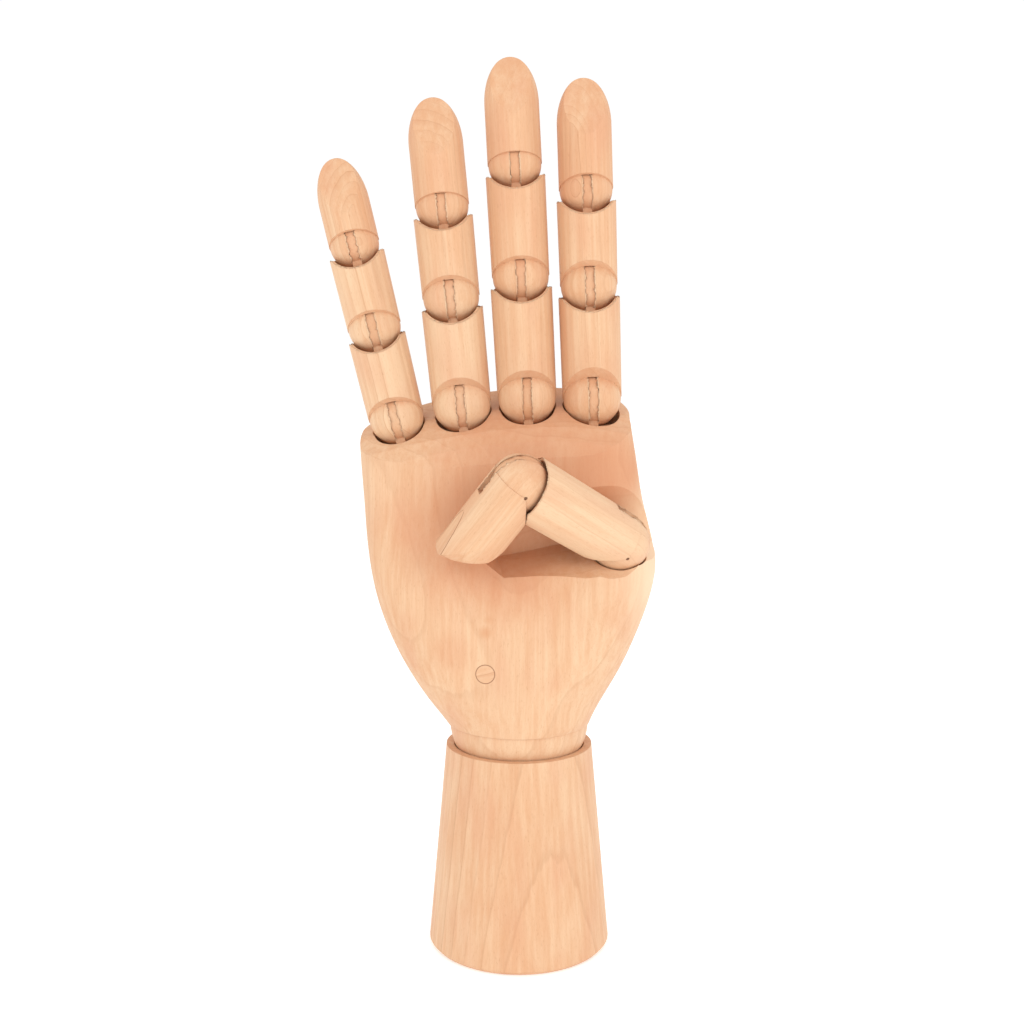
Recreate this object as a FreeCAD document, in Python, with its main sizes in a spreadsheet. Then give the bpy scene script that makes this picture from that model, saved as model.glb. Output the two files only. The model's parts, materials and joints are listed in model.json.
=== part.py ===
"""Jointed wooden artist's hand standing on a tapered forearm block.

Millimetres. World frame: origin at the centre of the block's underside, +Z up,
palm facing -Y, thumb on the +X side. Every finger segment is drawn in its own
frame: origin at the centre of its joint ball, +Z along the segment, -Y palmar,
X along the joint pin.
"""
import FreeCAD, Part
import math
import os
import Sketcher

os.makedirs("parts", exist_ok=True)

V = FreeCAD.Vector
doc = FreeCAD.newDocument("artist_hand")
sheet = doc.addObject("Spreadsheet::Sheet", "sizes")
sheet.Label = "sizes"

SIZES = {
    # forearm block and wrist
    "base_foot_radius": 26.3,
    "base_top_radius": 21.0,
    "base_height": 58.9,
    "base_foot_chamfer": 1.0,
    "wrist_centre_height": 66.4,
    "wrist_ball_radius": 20.0,
    "wrist_gap": 0.3,
    "rod_radius": 2.6,
    "rod_bore_radius": 2.9,
    "rod_foot_height": 5.0,
    "rod_eye_radius": 6.4,
    "rod_eye_thickness": 5.4,
    "wrist_slot_width": 6.0,
    "wrist_slot_half_length": 9.5,
    "wrist_slot_top": 7.6,
    "wrist_slot_run": 5.0,
    "wrist_pin_radius": 2.0,
    "wrist_bore_play": 0.06,
    "wrist_pin_length": 36.0,
    "well_radius": 11.0,
    "well_depth": 27.0,
    "spring_wire_radius": 0.7,
    "spring_coil_radius": 5.2,
    "spring_pitch": 3.1,
    "washer_radius": 8.5,
    "washer_thickness": 1.4,
    "washer_play": 0.02,
    "nut_across_flats": 9.0,
    "nut_height": 4.4,
    "nut_foot_height": 7.2,
    "plug_radius": 2.6,
    "plug_depth": 14.0,
    # joints of the digits
    "slot_width": 3.0,
    "tongue_thickness": 2.6,
    "tongue_stem_half_width": 4.4,
    "tongue_stem_grip": 6.0,
    "pin_radius": 0.5,
    "pin_bore_radius": 0.56,
    "pin_recess": 0.4,
    "cup_gap": 0.25,
    "palm_cup_play": 0.05,
    "mouth_ratio": 0.92,
    "slot_end_ratio": 0.96,
    "tongue_disc_ratio": 0.92,
    "ball_relief": 0.2,
    "tip_rise": 12.6,
}

# digit: palm joint (x, y, z), sideways lean, then per segment
# (ball radius, cup radius, length, shoulder angle)
FINGERS = {
    "index": ((20.5, 0.0, 158.4), 2.1, (
        (8.3, 8.6, 31.2, 46.0), (8.0, 8.25, 26.1, 39.0), (7.5, 7.5, 30.0, 26.0),
    )),
    "middle": ((2.2, 0.0, 158.7), 3.1, (
        (8.3, 8.6, 33.4, 42.0), (8.0, 8.25, 30.4, 33.0), (7.5, 7.5, 28.8, 20.0),
    )),
    "ring": ((-16.2, 0.0, 156.7), 5.4, (
        (8.3, 8.6, 29.8, 42.0), (8.0, 8.25, 25.0, 35.0), (7.5, 7.5, 29.3, 22.0),
    )),
    "little": ((-34.6, 0.0, 152.9), 13.1, (
        (7.8, 8.1, 25.8, 37.0), (7.5, 7.75, 23.3, 31.0), (7.0, 7.0, 24.0, 27.0),
    )),
}
THUMB = ((8.4, 8.8, 35.8, 47.0), (8.0, 8.0, 28.4, 51.0))
THUMB_ROOT = V(27.4, -15.0, 119.6)
THUMB_KNUCKLE = V(-0.1, -29.5, 137.3)
THUMB_ROLL = 15.0
THUMB_ROOT_FLEXION = 86.0
THUMB_KNUCKLE_FLEXION = 92.0
SEGMENTS = ("proximal", "middle", "distal")
STEPS = ("root", "mid", "end")

MEASURES = ("ball", "cup", "length", "shoulder")
digit_rows = {digit: zip(STEPS, segments) for digit, (_, _, segments) in FINGERS.items()}
digit_rows["thumb"] = zip(("root", "end"), THUMB)
for digit, steps in digit_rows.items():
    for step, values in steps:
        for measure, value in zip(MEASURES, values):
            SIZES[f"{digit}_{step}_{measure}"] = value

for row, (name, value) in enumerate(SIZES.items(), start=1):
    sheet.set(f"A{row}", name)
    sheet.set(f"B{row}", str(value))
    sheet.setAlias(f"B{row}", name)
doc.recompute()

# a distance that is outside any segment
OUTSIDE = 20.0

nodes = {}


def of(name):
    """Current value of a driving size."""
    return float(sheet.get(name))


def ref(name):
    """Expression text for a driving size."""
    return f"sizes.{name}"


def plane(body, role):
    return next(o for o in body.Origin.OriginFeatures if o.Role == role)


def new_body(name):
    body = doc.addObject("PartDesign::Body", name)
    body.Label = name
    nodes[name] = body
    return body


def new_sketch(body, name, role="YZ_Plane"):
    sketch = body.newObject("Sketcher::SketchObject", name)
    sketch.AttachmentSupport = [(plane(body, role), "")]
    sketch.MapMode = "FlatFace"
    return sketch


def polygon(sketch, corners):
    """Closed outline; each corner is (x, y, x expression, y expression)."""
    count = len(corners)
    lines = []
    for i, corner in enumerate(corners):
        after = corners[(i + 1) % count]
        start = V(corner[0], corner[1], 0)
        end = V(after[0], after[1], 0)
        lines.append(sketch.addGeometry(Part.LineSegment(start, end), False))
    for i in range(count):
        sketch.addConstraint(
            Sketcher.Constraint("Coincident", lines[i], 2, lines[(i + 1) % count], 1)
        )
    for line, (x, y, x_text, y_text) in zip(lines, corners):
        for kind, value, text in (("DistanceX", x, x_text), ("DistanceY", y, y_text)):
            rule = sketch.addConstraint(Sketcher.Constraint(kind, -1, 1, line, 1, value))
            if text:
                sketch.setExpression(f"Constraints[{rule}]", text)


def circle(sketch, radius_name, scale_name=None):
    """Circle round the origin; its radius may be a ratio of another size."""
    radius = of(radius_name) * (of(scale_name) if scale_name else 1.0)
    text = f"{ref(radius_name)} * {ref(scale_name)}" if scale_name else ref(radius_name)
    ring = sketch.addGeometry(Part.Circle(V(0, 0, 0), V(0, 0, 1), radius), False)
    sketch.addConstraint(Sketcher.Constraint("Coincident", ring, 3, -1, 1))
    rule = sketch.addConstraint(Sketcher.Constraint("Radius", ring, radius))
    sketch.setExpression(f"Constraints[{rule}]", text)


def pocket(body, sketch, width_text=None):
    """Cut the sketch right through, or to a width centred on its plane."""
    cut = body.newObject("PartDesign::Pocket", f"{sketch.Name}_cut")
    cut.Profile = sketch
    cut.Midplane = True
    if width_text:
        cut.setExpression("Length", width_text)
    else:
        cut.Length = 5 * OUTSIDE
    return cut


def pad(body, sketch, length_text):
    block = body.newObject("PartDesign::Pad", f"{sketch.Name}_pad")
    block.Profile = sketch
    block.Midplane = True
    block.setExpression("Length", length_text)
    return block


def primitive(body, kind, name, lift_text=None, **texts):
    """Additive or subtractive solid standing on the body's XY plane."""
    solid = body.newObject(f"PartDesign::{kind}", name)
    solid.AttachmentSupport = [(plane(body, "XY_Plane"), "")]
    solid.MapMode = "FlatFace"
    for key, text in texts.items():
        solid.setExpression(key, text)
    if lift_text:
        solid.setExpression("AttachmentOffset.Base.z", lift_text)
    return solid


def add_ball(body, name, key):
    """Palmar relief below a plane rising through the pin, then the joint ball."""
    rise = OUTSIDE * math.tan(math.radians(of(f"{key}_shoulder")))
    sketch = new_sketch(body, f"{name}_shoulder")
    rise_text = f"{OUTSIDE} * tan({ref(key + '_shoulder')} * 1 deg)"
    polygon(sketch, (
        (0.0, 0.0, None, None),
        (-OUTSIDE, rise, None, rise_text),
        (-OUTSIDE, -1.0, None, None),
        (0.0, -1.0, None, None),
    ))
    pocket(body, sketch)
    primitive(
        body, "AdditiveSphere", f"{name}_ball",
        Radius=f"{ref(key + '_ball')} - {ref('ball_relief')}",
    )


def cut_ball_slot(body, name, key):
    """Sagittal slot for the tongue and cross hole for the pin.

    The slot opens up to the shoulder on the palmar side and past the ball on the
    back; between them it ends round, following the tongue.
    """
    ball = of(f"{key}_ball")
    back = of("slot_end_ratio") * ball
    back_text = f"{ref('slot_end_ratio')} * {ref(key + '_ball')}"
    front = ball * math.sin(math.radians(of(f"{key}_shoulder")))
    front_text = f"{ref(key + '_ball')} * sin({ref(key + '_shoulder')} * 1 deg)"
    slot = new_sketch(body, f"{name}_slot")
    polygon(slot, (
        (-OUTSIDE, -OUTSIDE, None, None),
        (OUTSIDE, -OUTSIDE, None, None),
        (OUTSIDE, back, None, back_text),
        (0.0, back, None, back_text),
        (0.0, front, None, front_text),
        (-OUTSIDE, front, None, front_text),
    ))
    pocket(body, slot, ref("slot_width"))
    slot_end = new_sketch(body, f"{name}_slot_end")
    circle(slot_end, "slot_end_ratio", f"{key}_ball")
    pocket(body, slot_end, ref("slot_width"))
    hole = new_sketch(body, f"{name}_pin_hole")
    circle(hole, "pin_radius")
    pocket(body, hole)


# cup rim seen from the side, as (palmar-dorsal, along) multiples of the cup radius
RIM = ((1.5, 0.10), (0.78, -0.34), (-0.45, -0.43), (-1.5, -1.33))
# depth of the straight-walled mouth above the cup, as a multiple of the cup radius
MOUTH_DEPTH = 0.93


def cut_cup(body, name, key, next_key):
    """Open cup for the next ball, its slanted rim, and the mortise for the tongue."""
    length = of(f"{key}_length")
    cup = of(f"{key}_cup")
    length_text = ref(f"{key}_length")
    cup_text = ref(f"{key}_cup")
    bowl_text = f"{ref(next_key + '_ball')} + {ref('cup_gap')}"
    rim = new_sketch(body, f"{name}_rim")
    corners = [
        (cup * y, length + cup * z, f"{cup_text} * {y}", f"{length_text} + {cup_text} * {z}")
        for y, z in RIM
    ]
    high = length + OUTSIDE
    corners.append((cup * RIM[-1][0], high, f"{cup_text} * {RIM[-1][0]}", None))
    corners.append((cup * RIM[0][0], high, f"{cup_text} * {RIM[0][0]}", None))
    polygon(rim, corners)
    pocket(body, rim)
    primitive(body, "SubtractiveSphere", f"{name}_bowl", length_text, Radius=bowl_text)
    primitive(
        body, "SubtractiveCylinder", f"{name}_mouth", f"{length_text} - {MOUTH_DEPTH} * {cup_text}",
        Radius=f"{ref('mouth_ratio')} * {cup_text}", Height=f"2 * {cup_text}",
    )
    bowl = of(f"{next_key}_ball") + of("cup_gap")
    half = of("tongue_stem_half_width")
    floor = length - bowl - of("tongue_stem_grip")
    floor_text = f"{length_text} - ({bowl_text}) - {ref('tongue_stem_grip')}"
    half_text = ref("tongue_stem_half_width")
    mortise = new_sketch(body, f"{name}_mortise")
    polygon(mortise, (
        (-half, floor, f"-{half_text}", floor_text),
        (half, floor, half_text, floor_text),
        (half, length, half_text, length_text),
        (-half, length, f"-{half_text}", length_text),
    ))
    pocket(body, mortise, ref("tongue_thickness"))


def make_segment(name, key, next_key):
    """Proximal or middle segment: ball with slot at the root, cup at the far end."""
    body = new_body(name)
    primitive(
        body, "AdditiveCone", f"{name}_shaft",
        Radius1=ref(f"{key}_ball"), Radius2=ref(f"{key}_cup"), Height=ref(f"{key}_length"),
    )
    add_ball(body, name, key)
    cut_cup(body, name, key, next_key)
    cut_ball_slot(body, name, key)
    return body


# pad seen from the side: where its arc leaves the palmar side below the tip, its middle
# and its top, across as multiples of the tip's radius and along from the tip
PAD_START = 19.0
FINGER_PAD = ((-0.44, -6.2), (0.02, 0.2))
THUMB_PAD = ((-0.35, -6.2), (1.05, 0.1))
# flat nail: depth at the tip and where it starts, as a share of the length
FINGER_NAIL = (2.6, 0.56)
THUMB_NAIL = (0.9, 0.5)
PAD_OVERRUN = 0.9
NAIL_LIFT = 0.02
# side curve of the thumb's tip: number of steps and its angles on the ellipse
TIP_STEPS = 7
TIP_FIRST_ANGLE = 4.0
TIP_SWEEP = 82.0


def cut_tip_sides(body, name, radius, length):
    """Narrow the tip from both sides along a half-ellipse, straight through the finger."""
    sketch = new_sketch(body, f"{name}_tip_sides", "XZ_Plane")
    corners = []
    for i in range(TIP_STEPS + 1):
        angle = math.radians(TIP_FIRST_ANGLE + TIP_SWEEP * i / TIP_STEPS)
        drop = of("tip_rise") * (1 - math.sin(angle))
        corners.append((radius * math.cos(angle), length - drop))
    for side in (1, -1):
        curve = Part.BSplineCurve()
        curve.interpolate([V(side * x, z, 0) for x, z in corners])
        edge = sketch.addGeometry(curve, False)
        sketch.addConstraint(Sketcher.Constraint("Block", edge))
        first = V(side * corners[0][0], corners[0][1], 0)
        last = V(side * corners[-1][0], corners[-1][1], 0)
        wide = side * OUTSIDE
        top = length + OUTSIDE
        ring = (last, V(last.x, top, 0), V(wide, top, 0), V(wide, first.y, 0), first)
        for start, end in zip(ring, ring[1:]):
            line = sketch.addGeometry(Part.LineSegment(start, end), False)
            sketch.addConstraint(Sketcher.Constraint("Block", line))
    pocket(body, sketch)


def cut_pad(body, name, radius, length, shape):
    """Palmar pad: the wood outside an arc that leaves the palmar side and meets the tip."""
    sketch = new_sketch(body, f"{name}_pad")
    low = V(-radius - PAD_OVERRUN, length - PAD_START, 0)
    mid, high = (V(radius * across, length + rise, 0) for across, rise in shape)
    outer = V(-OUTSIDE, length + OUTSIDE, 0)
    ring = (high, V(high.x, outer.y, 0), outer, V(outer.x, low.y, 0), low)
    arc = sketch.addGeometry(Part.Arc(low, mid, high), False)
    sketch.addConstraint(Sketcher.Constraint("Block", arc))
    for start, end in zip(ring, ring[1:]):
        line = sketch.addGeometry(Part.LineSegment(start, end), False)
        sketch.addConstraint(Sketcher.Constraint("Block", line))
    pocket(body, sketch)


def cut_nail(body, name, radius, length, shape):
    """Flat nail, a shallow wedge taken off the dorsal side."""
    sketch = new_sketch(body, f"{name}_nail")
    tip_depth, start_share = shape
    start = length * start_share
    end = length + OUTSIDE
    depth = tip_depth * (end - start) / (length - start)
    polygon(sketch, (
        (radius + NAIL_LIFT, start, None, None),
        (OUTSIDE, start, None, None),
        (OUTSIDE, end, None, None),
        (radius - depth, end, None, None),
    ))
    pocket(body, sketch)


def make_fingertip(name, key):
    """Distal finger segment: ball, shaft, egg-shaped tip, palmar pad and flat nail."""
    radius = of(f"{key}_ball")
    length = of(f"{key}_length")
    body = new_body(name)
    shaft_text = f"{ref(key + '_length')} - {ref('tip_rise')}"
    primitive(
        body, "AdditiveCylinder", f"{name}_shaft",
        Radius=ref(f"{key}_ball"), Height=shaft_text,
    )
    add_ball(body, name, key)
    primitive(
        body, "AdditiveEllipsoid", f"{name}_tip", shaft_text,
        Radius1=ref("tip_rise"), Radius2=ref(f"{key}_ball"), Radius3=ref(f"{key}_ball"),
    )
    cut_ball_slot(body, name, key)
    cut_pad(body, name, radius, length, FINGER_PAD)
    cut_nail(body, name, radius, length, FINGER_NAIL)
    return body


def make_thumb_tip(name, key):
    """Distal thumb segment: straight along the back, its sides and pad cut to the tip."""
    radius = of(f"{key}_ball")
    length = of(f"{key}_length")
    body = new_body(name)
    primitive(
        body, "AdditiveCylinder", f"{name}_shaft",
        Radius=ref(f"{key}_ball"), Height=ref(f"{key}_length"),
    )
    add_ball(body, name, key)
    cut_ball_slot(body, name, key)
    cut_tip_sides(body, name, radius, length)
    cut_pad(body, name, radius, length, THUMB_PAD)
    cut_nail(body, name, radius, length, THUMB_NAIL)
    return body


def make_tongue(name, key):
    """Flat wooden tongue: disc round the pin and a stem glued into the cup below."""
    body = new_body(name)
    half = of("tongue_stem_half_width")
    foot = -(of(f"{key}_ball") + of("cup_gap") + of("tongue_stem_grip"))
    foot_text = f"-({ref(key + '_ball')} + {ref('cup_gap')} + {ref('tongue_stem_grip')})"
    half_text = ref("tongue_stem_half_width")
    stem = new_sketch(body, f"{name}_stem")
    polygon(stem, (
        (-half, foot, f"-{half_text}", foot_text),
        (half, foot, half_text, foot_text),
        (half, 0.0, half_text, None),
        (-half, 0.0, f"-{half_text}", None),
    ))
    pad(body, stem, ref("tongue_thickness"))
    disc = new_sketch(body, f"{name}_disc")
    circle(disc, "tongue_disc_ratio", f"{key}_ball")
    pad(body, disc, ref("tongue_thickness"))
    bore = new_sketch(body, f"{name}_bore")
    circle(bore, "pin_bore_radius")
    pocket(body, bore)
    return body


def make_pin(name, key):
    """Steel cross pin, pressed into both cheeks of the ball."""
    body = new_body(name)
    sketch = new_sketch(body, f"{name}_section")
    circle(sketch, "pin_radius")
    pad(body, sketch, f"2 * ({ref(key + '_ball')} - {ref('pin_recess')})")
    return body


def frame(origin, x_axis, y_axis, z_axis):
    matrix = FreeCAD.Matrix(
        x_axis.x, y_axis.x, z_axis.x, origin.x,
        x_axis.y, y_axis.y, z_axis.y, origin.y,
        x_axis.z, y_axis.z, z_axis.z, origin.z,
        0, 0, 0, 1,
    )
    return FreeCAD.Placement(matrix)


def flexed(place, degrees):
    """The same frame turned about its own pin, positive towards the palm."""
    return place.multiply(FreeCAD.Placement(V(0, 0, 0), FreeCAD.Rotation(V(1, 0, 0), degrees)))


def along(place, distance):
    return place.multiply(FreeCAD.Placement(V(0, 0, distance), FreeCAD.Rotation()))


# ---------------------------------------------------------------- fingers
cups = []
for digit, (origin, lean, segments) in FINGERS.items():
    place = FreeCAD.Placement(V(*origin), FreeCAD.Rotation(V(0, 1, 0), -lean))
    cups.append((f"{digit}_palm", place, f"{digit}_root"))
    for index, (part_name, step) in enumerate(zip(SEGMENTS, STEPS)):
        key = f"{digit}_{step}"
        name = f"{digit}_{part_name}"
        if part_name == "distal":
            segment = make_fingertip(name, key)
        else:
            segment = make_segment(name, key, f"{digit}_{STEPS[index + 1]}")
        for piece in (segment, make_tongue(f"{name}_tongue", key), make_pin(f"{name}_pin", key)):
            piece.Placement = place
        place = along(place, of(f"{key}_length"))

# ---------------------------------------------------------------- thumb
thumb_axis = (THUMB_KNUCKLE - THUMB_ROOT).normalize()
level = V(thumb_axis.x, 0, thumb_axis.z).normalize()
inward = V(-level.z, 0, level.x)
away = thumb_axis.cross(inward)
if away.y < 0:
    away = away.negative()
roll = math.radians(THUMB_ROLL)
palmar = inward * math.cos(roll) + away * math.sin(roll)
dorsal = palmar.negative()
thumb_root = frame(THUMB_ROOT, dorsal.cross(thumb_axis), dorsal, thumb_axis)
thumb_cup = flexed(thumb_root, -THUMB_ROOT_FLEXION)
thumb_tip = flexed(along(thumb_root, of("thumb_root_length")), THUMB_KNUCKLE_FLEXION)
cups.append(("thumb_palm", thumb_cup, "thumb_root"))
make_segment("thumb_proximal", "thumb_root", "thumb_end").Placement = thumb_root
make_tongue("thumb_proximal_tongue", "thumb_root").Placement = thumb_cup
make_pin("thumb_proximal_pin", "thumb_root").Placement = thumb_root
make_thumb_tip("thumb_distal", "thumb_end").Placement = thumb_tip
make_tongue("thumb_distal_tongue", "thumb_end").Placement = flexed(
    thumb_tip, -THUMB_KNUCKLE_FLEXION
)
make_pin("thumb_distal_pin", "thumb_end").Placement = thumb_tip

# ---------------------------------------------------------------- forearm block
base = new_body("forearm_base")
primitive(
    base, "AdditiveCone", "base_block",
    Radius1=ref("base_foot_radius"), Radius2=ref("base_top_radius"), Height=ref("base_height"),
)
primitive(
    base, "SubtractiveSphere", "base_cup", ref("wrist_centre_height"),
    Radius=f"{ref('wrist_ball_radius')} + {ref('wrist_gap')}",
)
primitive(
    base, "SubtractiveCylinder", "base_bore",
    Radius=ref("rod_bore_radius"), Height=ref("base_height"),
)
primitive(
    base, "SubtractiveCylinder", "base_well",
    Radius=ref("well_radius"), Height=ref("well_depth"),
)
doc.recompute()
foot_edges = [
    f"Edge{i}" for i, edge in enumerate(base.Tip.Shape.Edges, start=1)
    if edge.isClosed() and abs(edge.Vertexes[0].Z) < 1e-6
]
turned_block = base.Tip
foot = base.newObject("PartDesign::Chamfer", "base_foot_chamfer")
foot.Base = (turned_block, foot_edges)
foot.setExpression("Size", ref("base_foot_chamfer"))
base.Tip = foot

# ---------------------------------------------------------------- wrist hardware
rod = new_body("wrist_rod")
shaft_text = f"{ref('wrist_centre_height')} - {ref('rod_foot_height')}"
primitive(
    rod, "AdditiveCylinder", "rod_shaft", ref("rod_foot_height"),
    Radius=ref("rod_radius"), Height=shaft_text,
)
eye = new_sketch(rod, "rod_eye")
eye_ring = eye.addGeometry(
    Part.Circle(V(0, of("wrist_centre_height"), 0), V(0, 0, 1), of("rod_eye_radius")), False
)
eye.addConstraint(Sketcher.Constraint("PointOnObject", eye_ring, 3, -2))
lift = eye.addConstraint(
    Sketcher.Constraint("DistanceY", -1, 1, eye_ring, 3, of("wrist_centre_height"))
)
eye.setExpression(f"Constraints[{lift}]", ref("wrist_centre_height"))
girth = eye.addConstraint(Sketcher.Constraint("Radius", eye_ring, of("rod_eye_radius")))
eye.setExpression(f"Constraints[{girth}]", ref("rod_eye_radius"))
pad(rod, eye, ref("rod_eye_thickness"))
eye_bore = new_sketch(rod, "rod_eye_bore")
bore_ring = eye_bore.addGeometry(
    Part.Circle(V(0, of("wrist_centre_height"), 0), V(0, 0, 1), of("wrist_pin_radius")), False
)
eye_bore.addConstraint(Sketcher.Constraint("PointOnObject", bore_ring, 3, -2))
lift = eye_bore.addConstraint(
    Sketcher.Constraint("DistanceY", -1, 1, bore_ring, 3, of("wrist_centre_height"))
)
eye_bore.setExpression(f"Constraints[{lift}]", ref("wrist_centre_height"))
girth = eye_bore.addConstraint(
    Sketcher.Constraint("Radius", bore_ring, of("wrist_pin_radius") + of("wrist_bore_play"))
)
eye_bore.setExpression(f"Constraints[{girth}]", f"{ref('wrist_pin_radius')} + {ref('wrist_bore_play')}")
pocket(rod, eye_bore)

wrist_pin = new_body("wrist_pin")
pin_section = new_sketch(wrist_pin, "wrist_pin_section")
circle(pin_section, "wrist_pin_radius")
pad(wrist_pin, pin_section, ref("wrist_pin_length"))
wrist_pin.Placement.Base = V(0, 0, of("wrist_centre_height"))

nut = new_body("wrist_nut")
primitive(
    nut, "AdditivePrism", "nut_hexagon", ref("nut_foot_height"),
    Circumradius=f"{ref('nut_across_flats')} / sqrt(3)", Height=ref("nut_height"),
)
primitive(
    nut, "SubtractiveCylinder", "nut_thread", Radius=ref("rod_radius"),
    Height=ref("well_depth"),
)

washer_foot = f"{ref('nut_foot_height')} + {ref('nut_height')}"
washer = new_body("wrist_washer")
primitive(
    washer, "AdditiveCylinder", "washer_plate", washer_foot,
    Radius=ref("washer_radius"), Height=ref("washer_thickness"),
)
primitive(
    washer, "SubtractiveCylinder", "washer_hole",
    Radius=f"{ref('rod_radius')} + {ref('washer_play')}", Height=ref("well_depth"),
)

# helical spring between the washer and the roof of the well
spring_foot = of("nut_foot_height") + of("nut_height") + of("washer_thickness")
wire = of("spring_wire_radius")
spring_roof = of("well_depth") - of("wrist_gap")
spring_run = spring_roof - spring_foot - 2 * wire
helix = Part.makeHelix(of("spring_pitch"), spring_run, of("spring_coil_radius"))
start_point = helix.Edges[0].valueAt(helix.Edges[0].FirstParameter)
start_tangent = helix.Edges[0].tangentAt(helix.Edges[0].FirstParameter)
wire_section = Part.Wire(Part.makeCircle(wire, start_point, start_tangent))
coil = Part.Wire(helix.Edges).makePipeShell([wire_section], True, True)
spring = doc.addObject("Part::Feature", "wrist_spring")
spring.Label = "wrist_spring"
spring.Shape = coil
spring.Placement.Base = V(0, 0, spring_foot + wire)
nodes["wrist_spring"] = spring

# ---------------------------------------------------------------- palm
# level: height, left edge, right edge, front, back, squareness, swell at the thumb's root
PALM_LEVELS = (
    (65.6, -20.7, 20.4, -20.6, 20.4, 2.0, 0.0),
    (71.8, -25.4, 23.3, -21.2, 19.6, 2.15, 0.0),
    (80.6, -31.2, 28.2, -21.6, 17.8, 2.35, 0.8),
    (93.0, -37.2, 33.6, -21.3, 15.6, 2.7, 3.6),
    (106.0, -41.1, 37.7, -19.7, 14.2, 3.1, 6.6),
    (113.5, -42.3, 38.5, -17.9, 13.7, 3.4, 7.6),
    (121.0, -43.1, 37.2, -16.3, 13.2, 3.4, 5.6),
    (130.0, -43.7, 34.9, -15.0, 12.8, 3.3, 1.2),
    (142.0, -44.5, 32.9, -13.9, 12.3, 3.4, 0.0),
    (154.0, -44.0, 31.0, -13.1, 12.0, 3.4, 0.0),
    (166.0, -43.6, 29.5, -13.0, 11.8, 3.4, 0.0),
)
SECTION_POINTS = 28
# where the swelling is highest and how far it spreads
SWELL_X = 27.0
SWELL_WIDTH = 14.0


def section(height, left, right, front, back, square, swell):
    """Closed smooth section, a superellipse with its own reach on each side."""
    points = []
    for i in range(SECTION_POINTS):
        angle = 2 * math.pi * i / SECTION_POINTS
        across = math.copysign(abs(math.cos(angle)) ** (2 / square), math.cos(angle))
        depth = math.copysign(abs(math.sin(angle)) ** (2 / square), math.sin(angle))
        x = across * (right if across > 0 else -left)
        y = depth * (back if depth > 0 else -front)
        if depth < 0:
            y += swell * depth * math.exp(-((x - SWELL_X) / SWELL_WIDTH) ** 2)
        points.append(V(x, y, height))
    curve = Part.BSplineCurve()
    curve.interpolate(points, PeriodicFlag=True)
    return Part.Wire(curve.toShape())


blank = doc.addObject("Part::Feature", "palm_blank")
blank.Shape = Part.makeLoft([section(*level) for level in PALM_LEVELS], True, False)

# knuckle surface: (x, height) of the knuckle line, and its fall from back to front
KNUCKLE_LINE = (
    (-52.0, 148.2), (-34.6, 152.9), (-16.2, 156.7), (2.2, 158.7), (20.5, 158.4), (38.0, 154.0)
)
KNUCKLE_FALL = ((18.0, 4.2), (0.0, -2.9), (-9.0, -8.2), (-12.2, -12.0), (-30.0, -60.0))
rows = []
for x, height in KNUCKLE_LINE:
    row = [V(x, y, height + fall) for y, fall in KNUCKLE_FALL]
    row.append(V(x, KNUCKLE_FALL[-1][0], 190.0))
    row.append(V(x, KNUCKLE_FALL[0][0], 190.0))
    rows.append(Part.makePolygon(row + row[:1]))
knuckle_tool = doc.addObject("Part::Feature", "knuckle_tool")
knuckle_tool.Shape = Part.makeLoft(rows, True, False)

# thumb seat: the sweep of the thumb's root, cut out above a slanted rim
SEAT_RIM = (
    (14.0, 1.0), (5.2, 0.2), (4.3, -1.2), (1.6, -3.9), (-2.2, -6.2),
    (-4.6, -7.3), (-7.1, -10.3), (-19.0, -20.8), (-23.0, -24.0),
)
SEAT_HALF_WIDTH = 9.1
SEAT_REACH = 46.0
SEAT_OPEN_WIDTH = 48.2
seat_points = [V(-SEAT_HALF_WIDTH, y, z) for y, z in SEAT_RIM]
for y, z in ((-SEAT_REACH, SEAT_RIM[-1][1]), (-SEAT_REACH, SEAT_REACH), (SEAT_RIM[0][0], SEAT_REACH)):
    seat_points.append(V(-SEAT_HALF_WIDTH, y, z))
seat_face = Part.Face(Part.makePolygon(seat_points + seat_points[:1]))
seat_tool = doc.addObject("Part::Feature", "thumb_seat_tool")
seat_tool.Shape = seat_face.extrude(V(SEAT_OPEN_WIDTH, 0, 0))
seat_tool.Placement = thumb_cup

wrist_ball = doc.addObject("Part::Sphere", "wrist_ball")
wrist_ball.setExpression("Radius", ref("wrist_ball_radius"))
wrist_ball.Placement.Base = V(0, 0, of("wrist_centre_height"))
palm_solid = doc.addObject("Part::MultiFuse", "palm_solid")
palm_solid.Shapes = [blank, wrist_ball]

tools = [knuckle_tool, seat_tool]
slot_box = doc.addObject("Part::Box", "wrist_slot")
slot_box.setExpression("Length", ref("wrist_slot_width"))
slot_box.setExpression("Width", f"2 * {ref('wrist_slot_half_length')}")
slot_box.setExpression(
    "Height",
    f"{ref('wrist_ball_radius')} + {ref('wrist_slot_run')} + {ref('wrist_slot_top')}",
)
slot_box.Placement.Base = V(
    -of("wrist_slot_width") / 2,
    -of("wrist_slot_half_length"),
    of("wrist_centre_height") - of("wrist_ball_radius") - of("wrist_slot_run"),
)
tools.append(slot_box)
pin_hole = doc.addObject("Part::Cylinder", "wrist_pin_hole")
pin_hole.setExpression("Radius", ref("wrist_pin_radius"))
pin_hole.Height = 6 * OUTSIDE
pin_hole.Placement = FreeCAD.Placement(
    V(-3 * OUTSIDE, 0, of("wrist_centre_height")), FreeCAD.Rotation(V(0, 1, 0), 90)
)
tools.append(pin_hole)

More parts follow.
